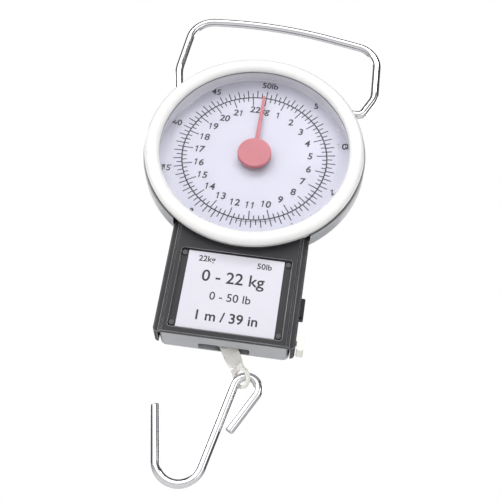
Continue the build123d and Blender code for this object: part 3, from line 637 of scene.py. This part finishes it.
LENS_FRONT_Y, LENS_BACK_Y = -7.5, -6.2
LENS_FACE_R, LENS_SLOPE_R, LENS_FLANGE_R = 33.4, 36.8, 39.3
LENS_HOLLOW_R, LENS_SLOPE_BACK_R = 33.0, 35.9
FLANGE_BACK_Y = -4.9
HUB_R = 0.5                  # nothing is rounded nearer the axis than this


def add_lens():
    outline = [
        (0, LENS_FRONT_Y), (LENS_FACE_R, LENS_FRONT_Y), (LENS_SLOPE_R, CROWN_FOOT_Y),
        (LENS_SLOPE_R, LIP_Y), (LENS_FLANGE_R, LIP_Y), (LENS_FLANGE_R, FLANGE_BACK_Y),
        (LENS_SLOPE_BACK_R, FLANGE_BACK_Y), (LENS_HOLLOW_R, LENS_BACK_Y), (0, LENS_BACK_Y),
    ]
    soft = [p for p in rounded(outline, 0.25) if p[0] > HUB_R]
    soft = [outline[0]] + soft + [outline[-1]]
    lathe("lens_glass", soft, FINISH["lens_clear"], "housing", "lens_clear", ("lens",))


# -------------------------------------------------- springs and sliding tape
SPRING_MEAN_R, SPRING_WIRE_R = 3.4, 0.65
COIL_STEPS = 24          # stations to a turn
COIL_TOP, COIL_FOOT, COIL_TURNS = 21.5, -11.5, 22
TOP_EYE = (6.3, 26.0)          # depth and height of the pin each spring hangs from
FOOT_EYE = (4.8, -17.8)
EYE_R = 1.95


def bezier(a, b, c, d, count):
    points = []
    for k in range(1, count):
        t = k / count
        points.append(a * (1 - t) ** 3 + b * 3 * t * (1 - t) ** 2 + c * 3 * t * t * (1 - t) + d * t ** 3)
    return points


def spring_hook(edge, eye, up):
    """From the coil's edge round the pin."""
    over = Vector((0, 0, EYE_R * up))
    side = Vector((EYE_R, 0, 0))
    curve = bezier(edge, edge + over, eye + side - over, eye + side, 10)
    turn = [eye + side * cos(pi * k / 12) + over * sin(pi * k / 12) for k in range(13)]
    return curve + turn


def add_spring(node):
    low, high = place(node)
    x, y = (low.x + high.x) / 2, TOP_EYE[0]
    count = COIL_TURNS * COIL_STEPS
    coil = []
    for k in range(count + 1):
        a = 2 * pi * COIL_TURNS * k / count
        z = COIL_FOOT + (COIL_TOP - COIL_FOOT) * k / count
        coil.append(Vector((x + SPRING_MEAN_R * cos(a), y + SPRING_MEAN_R * sin(a), z)))
    foot = spring_hook(coil[0], Vector((x, FOOT_EYE[0], FOOT_EYE[1])), -1)
    top = spring_hook(coil[-1], Vector((x, TOP_EYE[0], TOP_EYE[1])), 1)
    path = [at(*p) for p in list(reversed(foot)) + coil + top]
    verts, faces = tube_mesh(path, SPRING_WIRE_R, around=10, tip=0.15)
    spring = add_piece(
        node + "_wire", verts, faces, FINISH["spring_steel"], None, "spring_steel", (node,)
    )
    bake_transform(spring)


def add_lock_spring():
    """Small coil behind the lock button, built as a still coil."""
    low, high = place("lock_spring")
    wire_r, turns, steps = 0.15, 4, 20
    mean_r = (high.y - low.y) / 2 - wire_r
    y, z = (low.y + high.y) / 2, (low.z + high.z) / 2
    first, last = low.x + wire_r, high.x - wire_r
    count = turns * steps
    path = []
    for k in range(count + 1):
        a = 2 * pi * turns * k / count
        x = first + (last - first) * k / count
        path.append(at(x, y + mean_r * cos(a), z + mean_r * sin(a)))
    verts, faces = tube_mesh(path, wire_r, around=8, tip=0.05)
    spring = add_piece(
        "lock_spring_wire", verts, faces, FINISH["spring_steel"], None, "spring_steel",
        ("lock_spring",),
    )
    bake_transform(spring)


def add_tape():
    """Blade of the tape, with close stations where it leaves its mouth."""
    low, high = place("tape_strip")
    still, gone = 24.5, 26.2     # the blade has close stations between these two places
    steps, bow = 60, 0.03
    stations = [low.x, low.x + 8, low.x + 16, still]
    stations += [still + (gone - still) * k / steps for k in range(1, steps + 1)] + [high.x]
    verts, faces = [], []
    for x in stations:
        for y, z in ((low.y, high.z), (high.y, high.z), (high.y, low.z), (low.y, low.z)):
            verts.append(at(x, y, z - (bow if z == high.z else 0)))
    for i in range(len(stations) - 1):
        for k in range(4):
            n = (k + 1) % 4
            a, b = 4 * i, 4 * (i + 1)
            faces.append((a + k, a + n, b + n, b + k))
    faces += [(3, 2, 1, 0), tuple(range(len(verts) - 4, len(verts)))]
    tape = add_piece(
        "tape_blade", verts, faces, FINISH["tape_steel"], None, "tape_steel", ("tape_strip",)
    )
    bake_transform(tape)


add_dial_print()
add_label_print()
add_bezel()
add_lens()
add_spring("extension_spring_left")
add_spring("extension_spring_right")
add_lock_spring()
add_tape()

# ------------------------------------------------------- stage and lighting
white = bpy.data.materials.new("stage_white")
white.use_nodes = True
stage_shader = white.node_tree.nodes["Principled BSDF"]
stage_shader.inputs["Base Color"].default_value = (0.92, 0.92, 0.92, 1)
stage_shader.inputs["Roughness"].default_value = 0.8
stage_shader.inputs["Emission Color"].default_value = (1, 1, 1, 1)
stage_shader.inputs["Emission Strength"].default_value = 0.22


FLOOR_Z, FLOOR_HALF = -0.45, 30.0
floor_mesh = bpy.data.meshes.new("floor")
floor_mesh.from_pydata(
    [(FLOOR_HALF * x, FLOOR_HALF * y, FLOOR_Z) for x, y in ((-1, -1), (1, -1), (1, 1), (-1, 1))],
    [], [(0, 1, 2, 3)],
)
floor_mesh.materials.append(white)
floor = bpy.data.objects.new("floor", floor_mesh)
bpy.context.scene.collection.objects.link(floor)


def softbox(name, place_at, size, watts):
    """An area lamp turned towards the middle of the object."""
    light = bpy.data.lights.new(name, "AREA")
    light.shape = "RECTANGLE"
    light.size, light.size_y = size
    light.energy = watts
    lamp = bpy.data.objects.new(name, light)
    lamp.location = place_at
    lamp.rotation_euler = (MIDDLE - Vector(place_at)).to_track_quat("-Z", "Y").to_euler()
    bpy.context.scene.collection.objects.link(lamp)


MIDDLE = (Vector(cad_bounds[0]) + Vector(cad_bounds[1])) / 2
softbox("key_soft", (-0.60, -0.62, 0.34), (0.6, 0.8), 1.9)
softbox("fill_soft", (0.62, -0.60, -0.15), (0.5, 0.7), 1.1)
softbox("top_soft", (0.05, -0.52, 0.50), (0.7, 0.16), 2.1)
softbox("back_left_soft", (-0.65, 0.75, 0.30), (0.5, 0.5), 2.4)
softbox("back_right_soft", (0.65, 0.75, 0.30), (0.5, 0.5), 2.4)

# The surroundings that the object reflects, as greys along a direction: each pair is a
# place from 0, one way, to 1, the opposite way, and its grey.
# Front to back: bright in front, dark to the sides, pale right behind the object.
FRONT_TO_BACK = ((0.270, 0.85), (0.350, 0.09), (0.950, 0.03), (0.985, 0.6))
# Left to right: a dark upright strip, which draws a line down the wires.
LEFT_TO_RIGHT = ((0.62, 1.0), (0.65, 0.10), (0.86, 0.10), (0.89, 1.0))
DARK = (0.03, 0.03, 0.03)
OVERHEAD_FROM, OVERHEAD_TO, OVERHEAD_DARK = 0.56, 0.66, 0.85
BLUE_TINT = 1.01

world = bpy.data.worlds.new("studio")
world.use_nodes = True
bpy.context.scene.world = world
sky = world.node_tree
heading = sky.nodes.new("ShaderNodeSeparateXYZ")
link(sky, sky.nodes.new("ShaderNodeTexCoord").outputs["Generated"], heading.inputs["Vector"])


def greys(axis, first, last, places, tint):
    """Greys along one axis of the world."""
    ramp = sky.nodes.new("ShaderNodeValToRGB")
    link(sky, spread(sky, heading.outputs[axis], 0.0, 1.0, -1.0, 1.0), ramp.inputs["Fac"])
    stops = ramp.color_ramp.elements
    stops[0].color, stops[1].color = (*first, 1), (*last, 1)
    for position, grey in places:
        stops.new(position).color = (grey, grey, grey * tint, 1)
    return ramp.outputs["Color"]


room = greys("Y", (0.95, 0.95, 0.96), (0.90, 0.90, 0.91), FRONT_TO_BACK, BLUE_TINT)
strip = greys("X", (1, 1, 1), (1, 1, 1), LEFT_TO_RIGHT, 1.0)
striped = blend_colours(sky, strip, DARK, room)
overhead = spread(sky, heading.outputs["Z"], 0.0, OVERHEAD_DARK, OVERHEAD_FROM, OVERHEAD_TO)
reflected = sky.nodes["Background"]
reflected.inputs["Strength"].default_value = 1.7
link(sky, blend_colours(sky, overhead, striped, DARK), reflected.inputs["Color"])
# seen directly, the surroundings are a plain white
plain = sky.nodes.new("ShaderNodeBackground")
plain.inputs["Color"].default_value = (1, 1, 1, 1)
seen = sky.nodes.new("ShaderNodeMixShader")
link(sky, sky.nodes.new("ShaderNodeLightPath").outputs["Is Camera Ray"], seen.inputs["Fac"])
link(sky, reflected.outputs["Background"], seen.inputs[1])
link(sky, plain.outputs["Background"], seen.inputs[2])
link(sky, seen.outputs["Shader"], sky.nodes["World Output"].inputs["Surface"])
bpy.context.scene.view_settings.view_transform = "Standard"

# ------------------------------------------------------------------- camera
CAMERA_AT = (0.02828, -0.33121, -0.27912)
CAMERA_AIM = (0.00424, -0.004, -0.11031)
CAMERA_ROLL = 9.28       # degrees, turning the picture's top to the left
LENS_MM = 70.48

camera_data = bpy.data.cameras.new("camera")
camera_data.lens = LENS_MM
camera_data.sensor_width = 36.0
camera_data.clip_start = 0.01
camera = bpy.data.objects.new("camera", camera_data)
camera.location = CAMERA_AT
look = (Vector(CAMERA_AIM) - Vector(CAMERA_AT)).to_track_quat("-Z", "Y").to_matrix()
camera.rotation_euler = (look @ Matrix.Rotation(radians(CAMERA_ROLL), 3, "Z")).to_euler()
bpy.context.scene.collection.objects.link(camera)
bpy.context.scene.camera = camera
